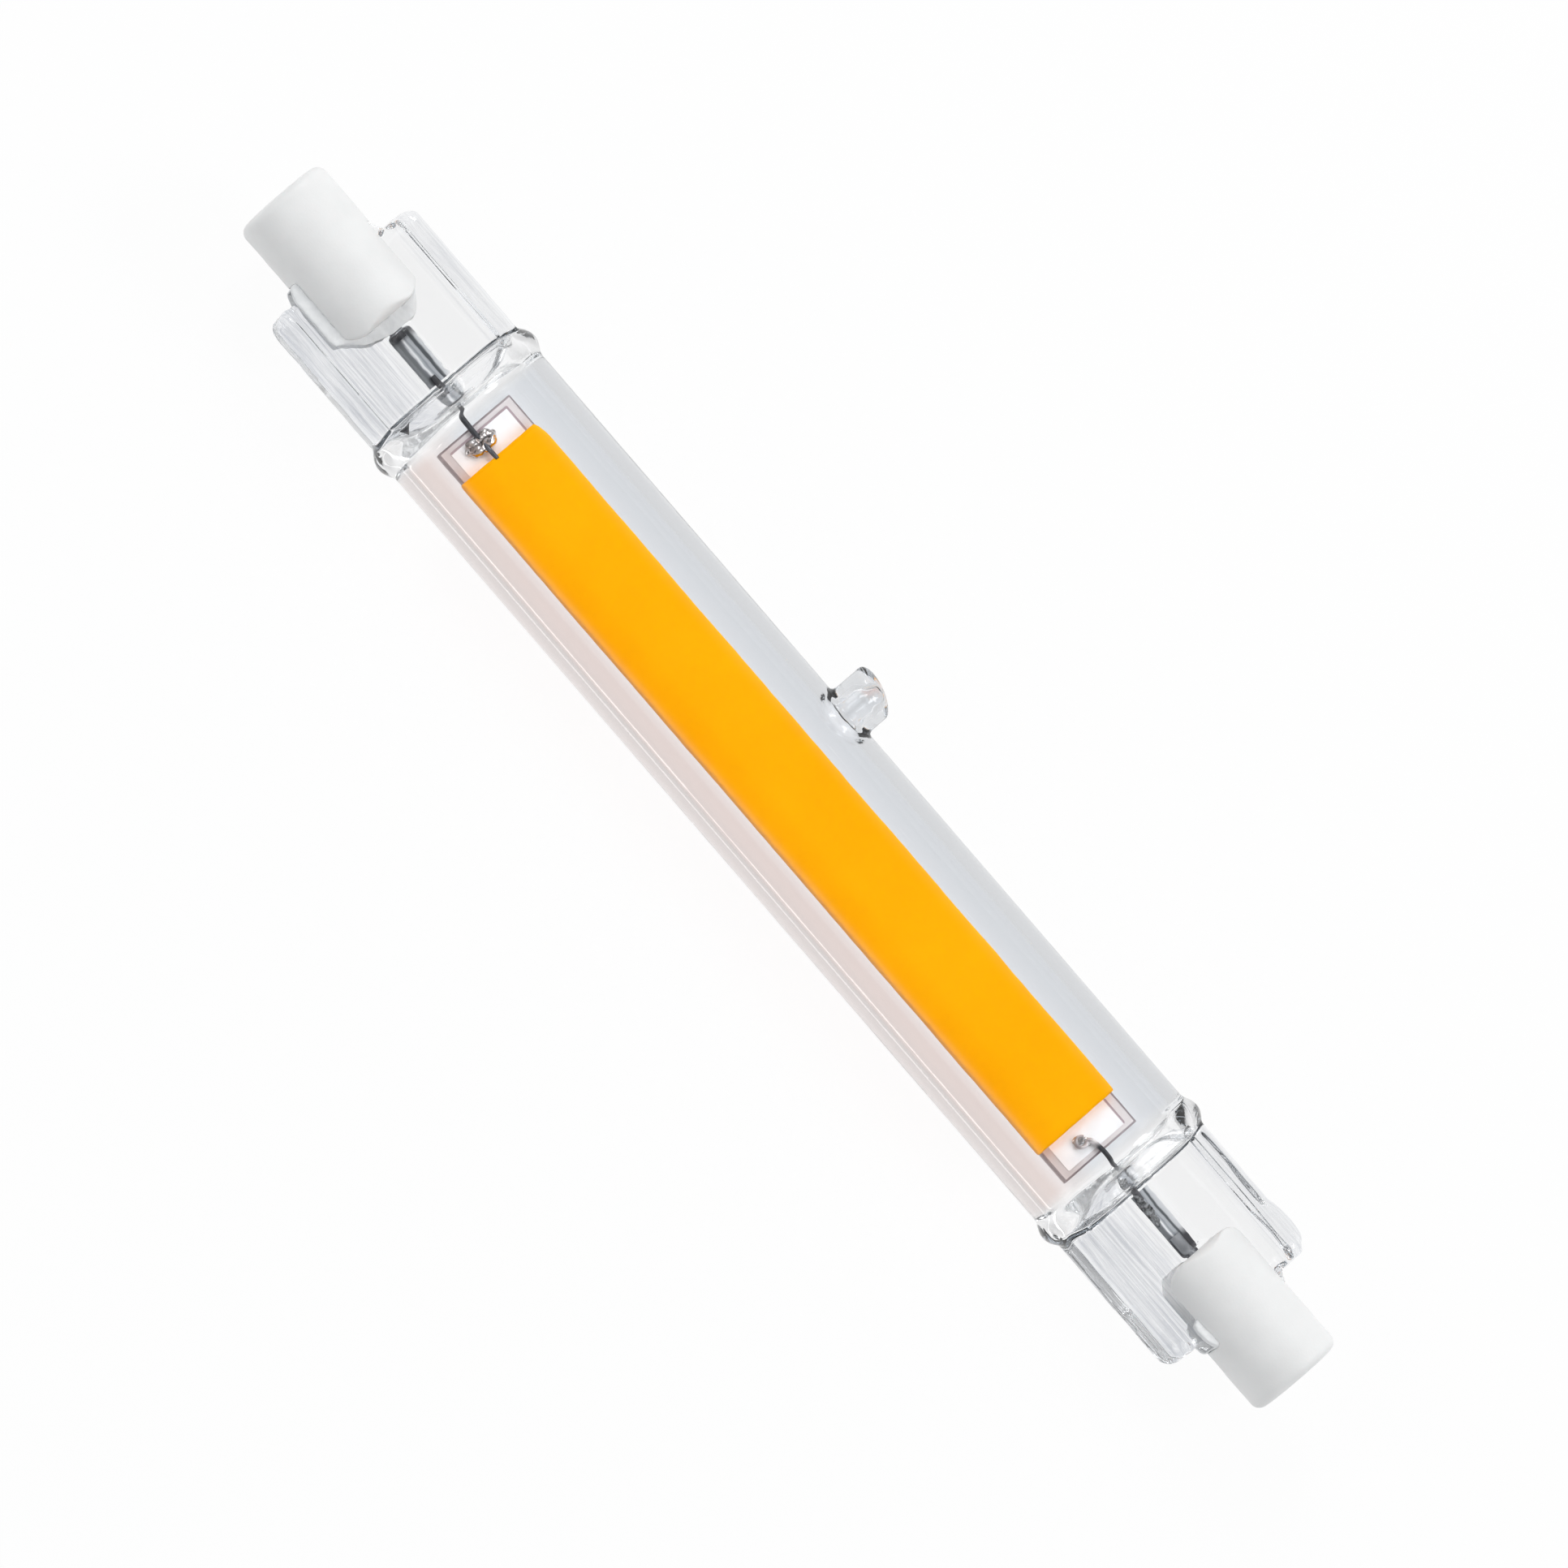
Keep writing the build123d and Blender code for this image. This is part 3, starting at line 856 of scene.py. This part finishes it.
def capBlank(name):
    steps = 8
    radius, rounding = cap["radius"], cap["rounding"]
    sections = [(cap["start"], radius, radius), (cap["end"] - rounding, radius, radius)]
    for step in range(1, steps + 1):
        angle = math.pi / 2 * step / steps
        width = radius - rounding * (1 - math.cos(angle))
        sections.append((cap["end"] - rounding * (1 - math.sin(angle)), width, width))
    return ringLoft(name, sections, 128, capped=True)


def roundedMould(corner, across):
    # long bar whose two corners at the prongs' ends are rounded, seen along one axis across the cap
    radius = cap["radius"]
    mould = block("mould", (cap["start"], -radius - 0.05, -radius - 0.05),
                  (cap["end"] + 0.5, radius + 0.05, radius + 0.05))
    bevelEdges(mould, across, lambda co: co.x < cap["start"] + 0.1, corner, 10)
    return mould


def ceramicCap(side, seed):
    piece = capBlank(side + "CeramicCap")
    combine(piece, roundedMould(cap["prongCorner"], "Z"), "INTERSECT")
    combine(piece, roundedMould(cap["prongSlope"], "Y"), "INTERSECT")
    slot = cap["slot"] / 2
    cut(piece, block("slot", (cap["start"] - 1, -6, -slot), (cap["slotFloor"], 6, slot)))
    face = cap["end"] - cap["recessDepth"]
    seat = face - cap["seatDepth"]
    cut(piece, rod("recess", face, cap["end"] + 1, cap["recess"]))
    cut(piece, rod("seat", seat, face + 0.1, cap["seat"]))
    cut(piece, rod("socket", seat - cap["socketDepth"], seat + 0.1, cap["socket"]))
    cut(piece, rod("leadHole", cap["slotFloor"] - 0.2, seat, cap["leadHole"]))
    melt(piece, cap["voxel"], cap["soften"])

    def shift(co):
        # pressed clay is never quite even
        swell = cap["hand"] * noise.noise(co * 0.55 + Vector((seed, 0, 0)))
        return co + swell * Vector((0, co.y, co.z)).normalized()
    moveVerts(piece, shift)
    return piece


cement = {
    "halfWidth": 4.1, "height": 1.86, "most": 1.88, "floor": 53.0, "nose": {"left": 44.75, "right": 48.0},
    "front": 44.9, "noseRound": 3.4, "gap": 0.015, "lump": {"left": 0.10, "right": 0.16}, "voxel": 0.12,
    "melt": 8, "low": {"left": 4.55, "right": 4.2}, "high": 3.35, "taper": 0.07, "leadGap": 0.31,
}


def cementBed(side, seed, capPiece):
    # white cement round the prongs, parted by the web of pressed glass
    nose, height = cement["nose"][side], cement["height"]
    piece = block(side + "Cement", (nose, -cement["halfWidth"], -height),
                  (cement["floor"], cement["halfWidth"], height))
    bevelEdges(piece, "Z", lambda co: co.x < nose + 0.1, cement["noseRound"], 12)
    melt(piece, cement["voxel"], cement["melt"])

    def shift(co):
        lump = noise.noise_vector(co * 0.9 + Vector((seed, 0, 0))) + 0.5 * noise.noise_vector(co * 2.3)
        out = cement["lump"][side] * lump
        # it slopes away where it was wiped off in front of the prongs
        front = max(0, 1 - (co.x - nose) / 2.6)
        z = co.z * (1 - 0.45 * front ** 2) + out.z
        # aside is -Y in the lamp: more of it runs out there, and none on the other side of the prong
        aside = co.y * (1 if side == "left" else -1)
        y = co.y / cement["halfWidth"] * (cement["low"][side] if aside > 0 else cement["high"])
        x = co.x + out.x * 0.6 + cement["taper"] * (aside + 0.9) ** 2 * min(1, front * 1.5)
        y *= 1 - 0.10 * max(0, (co.x - cement["floor"]) / 1.5 + 1) ** 2
        most = cement["most"]
        return Vector((max(cement["front"], x), y + out.y * 0.4, max(-most, min(most, z))))
    moveVerts(piece, shift)
    gap = cement["gap"]
    web = glass["webThickness"] / 2 + gap
    cutters = [block("webGap", (nose - 1, -6, -web), (glass["webEnd"] + gap, 6, web))]
    cutters += [ridgeRod(nose - 1, glass["ridgeEnd"][side] + 0.1, face, gap) for face in (-1, 1)]
    cutters += [rod("leadGap", glass["webEnd"], cement["floor"] + 0.5, cement["leadGap"]),
                copyPiece(capPiece, "capGap")]
    for cutter in cutters:
        cut(piece, cutter, "MANIFOLD")
    return piece


# stations from the contact's seat, and half widths
contactTurned = {
    "seat": 56.5,
    "profile": ((-1.6, 0.9), (-1.5, 0.98), (-0.6, 0.98), (-0.5, 0.9), (-0.35, 0.9), (-0.25, 0.98), (0, 0.98),
                (0.001, 1.25), (0.05, 1.3), (0.48, 1.3), (0.56, 1.27), (0.6, 1.18), (0.6, 0.75), (0.55, 0.6),
                (0.5, 0.4), (0.48, 0.15)),
}


def contact(side):
    # turned disc with a rounded rim and a dimple, on a shank crimped to the lead
    sections = [(contactTurned["seat"] + above, width, width) for above, width in contactTurned["profile"]]
    return ringLoft(side + "Contact", sections, 96, capped=True)


foil = {
    "start": 40.3, "end": {"left": 45.3, "right": 46.5}, "width": 1.1, "thickness": 0.1, "cuts": 23,
    "ripple": 0.03, "edge": 0.06,
}


def sealFoil(side, seed):
    # thin strip with soft ripples, its long edges a little uneven
    piece = block(side + "Foil", (foil["start"], -foil["width"] / 2, -foil["thickness"]),
                  (foil["end"][side], foil["width"] / 2, 0))
    editAll()
    bpy.ops.mesh.subdivide(number_cuts=foil["cuts"])
    endEdit()

    def shift(co):
        wave = noise.noise(Vector((co.x * 1.6 + seed, co.y * 2.0, 0)))
        edge = foil["edge"] * noise.noise(Vector((co.x * 2.3 + seed, 7, 0)))
        return Vector((co.x, co.y * (1 + edge), co.z - foil["ripple"] * abs(wave)))
    moveVerts(piece, shift)
    return piece


def leftLead():
    # from the foil through the glass, aside at the end of the hollow, over the pad and onto the gel's edge
    points = [(-41.0, 0, 0.06), (-40.2, 0, 0), (-39.2, 0.02, 0), (-38.3, -0.02, 0), (-37.9, -0.35, 0),
              (-37.3, -0.45, 0), (-36.4, -0.47, 0), (-35.5, -0.50, 0), (-34.6, -0.46, 0.02),
              (-33.9, -0.48, 0.16), (-33.35, -0.52, 0.44), (-33.05, -0.54, 0.56)]
    radii = [0.11, 0.14, 0.18, 0.2, 0.22, 0.22, 0.22, 0.22, 0.21, 0.2, 0.19, 0.16]
    return wire("leftInnerLead", points, radii)


def rightLead():
    # nearly straight to the strip, then one small hook laid flat on the pad
    points = [(41.0, 0, 0.06), (40.2, 0.02, 0), (39.2, 0.0, 0), (38.2, -0.08, 0), (37.5, 0.02, 0),
              (36.6, 0.12, 0), (35.9, 0.08, 0), (35.35, -0.02, 0), (34.95, -0.14, 0.0)]
    centre, reach = (34.62, -0.78), 0.44
    for step in range(9):
        angle = math.radians(62 - 38 * step)
        points.append((centre[0] + reach * math.cos(angle) * 1.02, centre[1] + reach * math.sin(angle) * 1.05,
                       -0.02 + 0.006 * step))
    radii = [0.12, 0.15] + [0.2] * 7 + [0.16 - 0.006 * step for step in range(9)]
    return wire("rightInnerLead", points, radii)


def rightWeld():
    # burnt, crumbly weld between the right lead and its foil
    lumps = [drop("rightWeld", (40.9, -0.12, 0.02), (0.75, 0.2, 0.16)),
             drop("weldB", (41.8, -0.22, 0.04), (0.85, 0.38, 0.17)),
             drop("weldC", (42.6, -0.26, 0.02), (0.75, 0.34, 0.14)),
             drop("weldD", (41.4, -0.42, 0.02), (0.6, 0.22, 0.12))]
    piece = joinPieces(lumps)
    melt(piece, 0.04, 2)

    def shift(co):
        return co + 0.055 * noise.noise_vector(co * 7.0) + 0.03 * noise.noise_vector(co * 17.0)
    moveVerts(piece, shift)
    return piece


print("ends")
for side, seed in (("left", 1.3), ("right", 8.6)):
    capPiece = ceramicCap(side, seed)
    cementPiece = cementBed(side, seed, capPiece)
    for piece, slotName, node in ((capPiece, "ceramic", "ceramic_cap"), (cementPiece, "cement", "cement"),
                                  (contact(side), "contact", "contact"), (sealFoil(side, seed), "foil", "foil")):
        finishPiece(toEnd(piece, side), slotName, side + "_" + node,
                    smooth=35 if slotName in ("contact", "foil") else None)
finishPiece(leftLead(), "lead_wire", "left_inner_lead", smooth=50)
finishPiece(rightLead(), "lead_wire", "right_inner_lead", smooth=50)
weldPiece = rightWeld()
turnPiece(weldPiece, glass["rolls"]["right"], "X")
finishPiece(weldPiece, "lead_wire", smooth=30)

# ---- light strip ----

strip = {
    "gelVoxel": 0.16, "gelSoften": 5, "gelRun": 0.22, "gelWave": 0.07, "gelTurn": 0.30, "gelTurnReach": 1.5,
    "gelEnds": 0.05, "boardBevel": 0.07, "boardStep": 5, "padCorner": 0.12,
}


def gelStrip():
    low, high = boxOf("phosphor_layer")
    piece = block("phosphorLayer", low, high)
    melt(piece, strip["gelVoxel"], strip["gelSoften"])

    def shift(co):
        # the upper edge wanders and turns in at the left end, the lower one runs nearly straight
        side = co.y / high.y
        wave = strip["gelWave"] * noise.noise(Vector((co.x * 0.16, 2.0 if side > 0 else 9.0, 0)))
        wave += 0.35 * strip["gelWave"] * noise.noise(Vector((co.x * 0.9, 4.0, side)))
        y = co.y * (1 + wave / high.y * (0.5 if side < 0 else 1.0))
        if side < 0:
            y += side * strip["gelRun"]
        if side > 0:
            y -= strip["gelTurn"] * side * max(0, 1 - (co.x - low.x) / strip["gelTurnReach"]) ** 2
        ragged = strip["gelEnds"] * noise.noise(Vector((co.y * 0.8, math.copysign(3, co.x), 0)))
        x = co.x + ragged * abs(co.x / high.x) ** 20
        lowest = Vector((low.x, low.y - strip["gelRun"], low.z))
        return Vector(max(a, min(b, c)) for a, b, c in zip(lowest, high, (x, y, co.z)))
    moveVerts(piece, shift)
    return piece


def board():
    low, high = boxOf("led_substrate")
    piece = block("ledSubstrate", low, high)
    applyModifier(piece, "BEVEL", width=strip["boardBevel"], segments=2, limit_method="ANGLE")
    editAll()
    for station in range(-35, 36, strip["boardStep"]):
        bpy.ops.mesh.bisect(plane_co=(station, 0, 0), plane_no=(1, 0, 0))
        bpy.ops.mesh.select_all(action="SELECT")
    endEdit()
    return piece


def endPad(side):
    low, high = boxOf(side + "_pad")
    piece = block(side + "Pad", low, high)
    bevelEdges(piece, "Z", lambda co: True, strip["padCorner"], 4)
    return piece


def solderLump(name, lumps, voxel, seed, rough):
    # drops run together, then wrinkled as the metal froze
    piece = joinPieces([drop(name if number == 0 else "lump", centre, radii)
                        for number, (centre, radii) in enumerate(lumps)])
    melt(piece, voxel, 3)

    def shift(co):
        wrinkle = noise.noise_vector(co * 2.2 + Vector((seed, 0, 0))) * rough
        return co + wrinkle + noise.noise_vector(co * 6.0) * rough * 0.3
    moveVerts(piece, shift)
    foot = boxOf("left_solder")[0].z
    moveVerts(piece, lambda co: Vector((co.x, co.y, max(foot, co.z))))
    return piece


leftLumps = [((-34.75, 0.02, -0.1), (0.78, 0.74, 0.48)), ((-34.80, 0.35, -0.15), (0.40, 0.55, 0.34)),
             ((-34.78, -1.20, -0.1), (0.78, 0.70, 0.48)), ((-34.82, -1.55, -0.15), (0.42, 0.54, 0.34)),
             ((-34.75, -0.58, -0.1), (0.74, 0.5, 0.36)), ((-34.25, -0.55, -0.12), (0.36, 0.3, 0.24))]
rightLumps = [((34.62, -0.80, -0.18), (0.52, 0.55, 0.2)), ((34.9, -0.35, -0.2), (0.4, 0.3, 0.16)),
              ((34.35, -0.95, -0.2), (0.34, 0.34, 0.14))]

print("light strip")
finishPiece(gelStrip(), "phosphor", "phosphor_layer")
finishPiece(board(), "substrate", "led_substrate", smooth=40)
for side in ("left", "right"):
    finishPiece(endPad(side), "pad", side + "_pad", smooth=40)
finishPiece(solderLump("leftSolder", leftLumps, 0.05, 2.2, 0.07), "solder", "left_solder")
finishPiece(solderLump("rightSolder", rightLumps, 0.04, 5.2, 0.05), "solder", "right_solder")


# ---- speck caught in the left end ----

speck = {"place": (-39.0, -5.05, 3.6), "radius": 0.66, "top": 0.38, "depth": 0.3, "rough": 0.02}


def pressSpeck():
    clearSelection()
    bpy.ops.mesh.primitive_cone_add(vertices=3, radius1=speck["radius"], radius2=speck["top"], depth=speck["depth"],
                                    location=speck["place"], rotation=(0, 0, math.radians(-90)))
    piece = justMade("pressSpeck")
    bpy.ops.object.transform_apply()
    applyModifier(piece, "BEVEL", width=0.03, segments=2)
    applyModifier(piece, "SUBSURF", levels=2, render_levels=2, subdivision_type="SIMPLE")
    moveVerts(piece, lambda co: co + speck["rough"] * noise.noise_vector(co * 6))
    return piece


finishPiece(pressSpeck(), "lead_wire", smooth=30)

# ---- finishes on all pieces ----

print("finishes")
onPieces(clearGlass(), "glassEnvelope")
onPieces(paleCeramic(), "leftCeramicCap", "rightCeramicCap")
onPieces(roughCement(), "leftCement", "rightCement")
onPieces(darkWire(), "leftInnerLead", "rightInnerLead", "left_outer_lead")
onPieces(greyFoil(), "leftFoil", "rightFoil")
onPieces(paleBoard(), "ledSubstrate")
onPieces(orangeGel(), "phosphorLayer")
onPieces(dieFinish(), *[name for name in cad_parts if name.endswith("chip") or "led_chip" in name])
for side, edges in (("left", ("+Y", "-X")), ("right", ("+Y",))):
    onPieces(silverPad(side, edges), side + "Pad")
metals = (
    # dark and pale colour, roughness from and to, scale of the grain, metallic, stretch
    ("nickel", ((0.62, 0.6, 0.56), (0.74, 0.72, 0.68), 0.18, 0.3, 900), ("leftContact", "rightContact")),
    ("greyWire", ((0.30, 0.31, 0.33), (0.50, 0.51, 0.53), 0.3, 0.5, 700, 0.4, (0.2, 1, 1)), ("right_outer_lead",)),
    ("burntWeld", ((0.02, 0.02, 0.022), (0.32, 0.33, 0.34), 0.3, 0.6, 3200, 0.4), ("rightWeld",)),
    ("blackSpeck", ((0.008, 0.008, 0.01), (0.05, 0.05, 0.055), 0.2, 0.4, 4000, 0.0), ("pressSpeck",)),
    ("brightSolder", ((0.42, 0.36, 0.33), (0.85, 0.84, 0.84), 0.10, 0.25, 900), ("leftSolder", "rightSolder")),
    ("goldTrack", ((0.6, 0.36, 0.12), (0.75, 0.5, 0.2), 0.2, 0.35, 900), ("left_track", "right_track")),
)
for name, values, pieces in metals:
    onPieces(metalFinish(name, *values), *pieces)

# ---- floor, light and camera ----

studio = {
    "floorSize": 3, "floorColour": 0.9, "floorRough": 0.9, "floorWhite": 0.94, "floorGlow": 0.9,
    "floorBands": ((0.0035, 0.97), (0.0080, 0.82), (0.0120, 0.72), (0.0400, 0.68)),
    "bandsFrom": 0.0385, "bandsTo": 0.0405, "paintedStrip": 3.0,
    "paintedStripReach": -0.04, "paintedStripStops": ((0.590, 0), (0.600, 1), (0.618, 1), (0.628, 0)),
    "lightColour": (0.97, 0.985, 1.0), "lightStrength": 0.56,
    "tent": 0.85, "tentStops": ((0.10, 0), (0.28, 1)), "slot": 0.40,
    "overhead": 0.01, "overheadStops": ((0.42, 0), (0.62, 1)),
    "brightSide": 1.5, "sideStops": ((0.0, 1), (0.008, 1), (0.025, 0), (1.0, 0)),
    "keyPlaces": ((0.32, 0.34, 0.40), (-0.32, 0.34, 0.40)), "keySize": 0.25, "keyPower": 1.03,
    "fillPlace": (-0.40, -0.32, 0.40), "fillSize": 0.25, "fillPower": 0.43,
}
view = {
    "distance": 1.2, "frameWidth": 0.11824, "turn": 49.21, "tilt": 13.0, "sensor": 36.0,
    "centre": (-0.000416, -0.000086), "bounces": 24,
}
# the camera looks down on the strip from a little to the side away from the tip
tilted = Euler((math.radians(view["tilt"]), 0, 0)).to_matrix()


def floorPlane():
    clearSelection()
    bpy.ops.mesh.primitive_plane_add(size=studio["floorSize"], location=(0, 0, cadBox[0][2] - 0.00001))
    plane = justMade("floor")
    net = Finish("paleFloor")
    # painted shade in what the glass sees of it: darker away from the lamp's axis, and white again past the tube's
    # ends
    reach = studio["floorBands"][-1][0]
    bands = net.ramp(net.spread(net.away("Y"), 0, 1, 0, reach),
                     [(place / reach, value) for place, value in studio["floorBands"]])
    past = net.spread(net.away("X"), 0, 1, studio["bandsFrom"], studio["bandsTo"])
    bands = net.mixValues(past, bands, 1.0)
    # a bright strip painted into the floor's glow beside the lamp, seen only in reflections and through glass,
    # draws the thin highlight line along the glass
    paintedStrip = net.ramp(net.spread(net.axes["Y"], 0, 1, studio["paintedStripReach"], 0), studio["paintedStripStops"])
    bands = net.mixValues(paintedStrip, bands, studio["paintedStrip"])
    glow = net.node("Emission", {"Strength": net.byRay(1.0, bands, 1.0)})
    share = net.byRay(studio["floorWhite"], studio["floorGlow"], 0.0)
    net.output(net.node("MixShader", {0: share, 1: net.shader.outputs[0], 2: glow.outputs[0]}))
    plane.data.materials.append(net.done({"Base Color": studio["floorColour"], "Roughness": studio["floorRough"]}))


def softLamp(name, place, size, power):
    lamp = bpy.data.lights.new(name, "AREA")
    lamp.shape = "DISK"
    lamp.size = size
    lamp.energy = power
    holder = bpy.data.objects.new(name, lamp)
    holder.location = place
    holder.rotation_euler = (-Vector(place)).to_track_quat("-Z", "Y").to_euler()
    bpy.context.collection.objects.link(holder)


def studioWorld():
    # white behind the object, and round it a bright tent with a slot for the camera across the tube:
    # grey in the slot, dark overhead, and bright again low on the -Y side
    world = bpy.data.worlds.new("studio")
    bpy.context.scene.world = world
    world.use_nodes = True
    net = Net(world.node_tree, "Generated")
    facing = net.node("VectorMath", {0: net.place, 1: tilted @ Vector((0, 0, 1))}, operation="DOT_PRODUCT")
    above = net.ramp(facing.outputs["Value"], studio["overheadStops"])
    side = net.ramp(net.spread(net.axes["Y"], 0, 1, -1, 1), studio["sideStops"])
    slot = net.mixValues(above, studio["slot"], studio["overhead"])
    slot = net.mixValues(side, slot, studio["brightSide"])
    tent = net.mixValues(net.ramp(net.away("X"), studio["tentStops"]), slot, studio["tent"])
    back = net.nodes["Background"].inputs
    net.put(studio["lightColour"], back["Color"])
    net.put(net.byRay(1.0, tent, studio["lightStrength"]), back["Strength"])


def photoCamera():
    data = bpy.data.cameras.new("camera")
    data.sensor_width = view["sensor"]
    data.lens = view["sensor"] * view["distance"] / view["frameWidth"]
    data.clip_start, data.clip_end = 0.05, 10
    camera = bpy.data.objects.new("camera", data)
    camera.location = tilted @ Vector((*view["centre"], view["distance"]))
    camera.rotation_euler = (tilted @ Euler((0, 0, math.radians(view["turn"]))).to_matrix()).to_euler()
    bpy.context.collection.objects.link(camera)
    bpy.context.scene.camera = camera


print("studio")
floorPlane()
for number, place in enumerate(studio["keyPlaces"], start=1):
    softLamp(f"keyLamp{number}", place, studio["keySize"], studio["keyPower"])
softLamp("fillLamp", studio["fillPlace"], studio["fillSize"], studio["fillPower"])
studioWorld()
photoCamera()
bpy.context.scene.view_settings.view_transform = "Standard"
# light passes through many faces of the glass before it is lost
bounces = bpy.context.scene.cycles
bounces.max_bounces = bounces.transmission_bounces = bounces.glossy_bounces = view["bounces"]
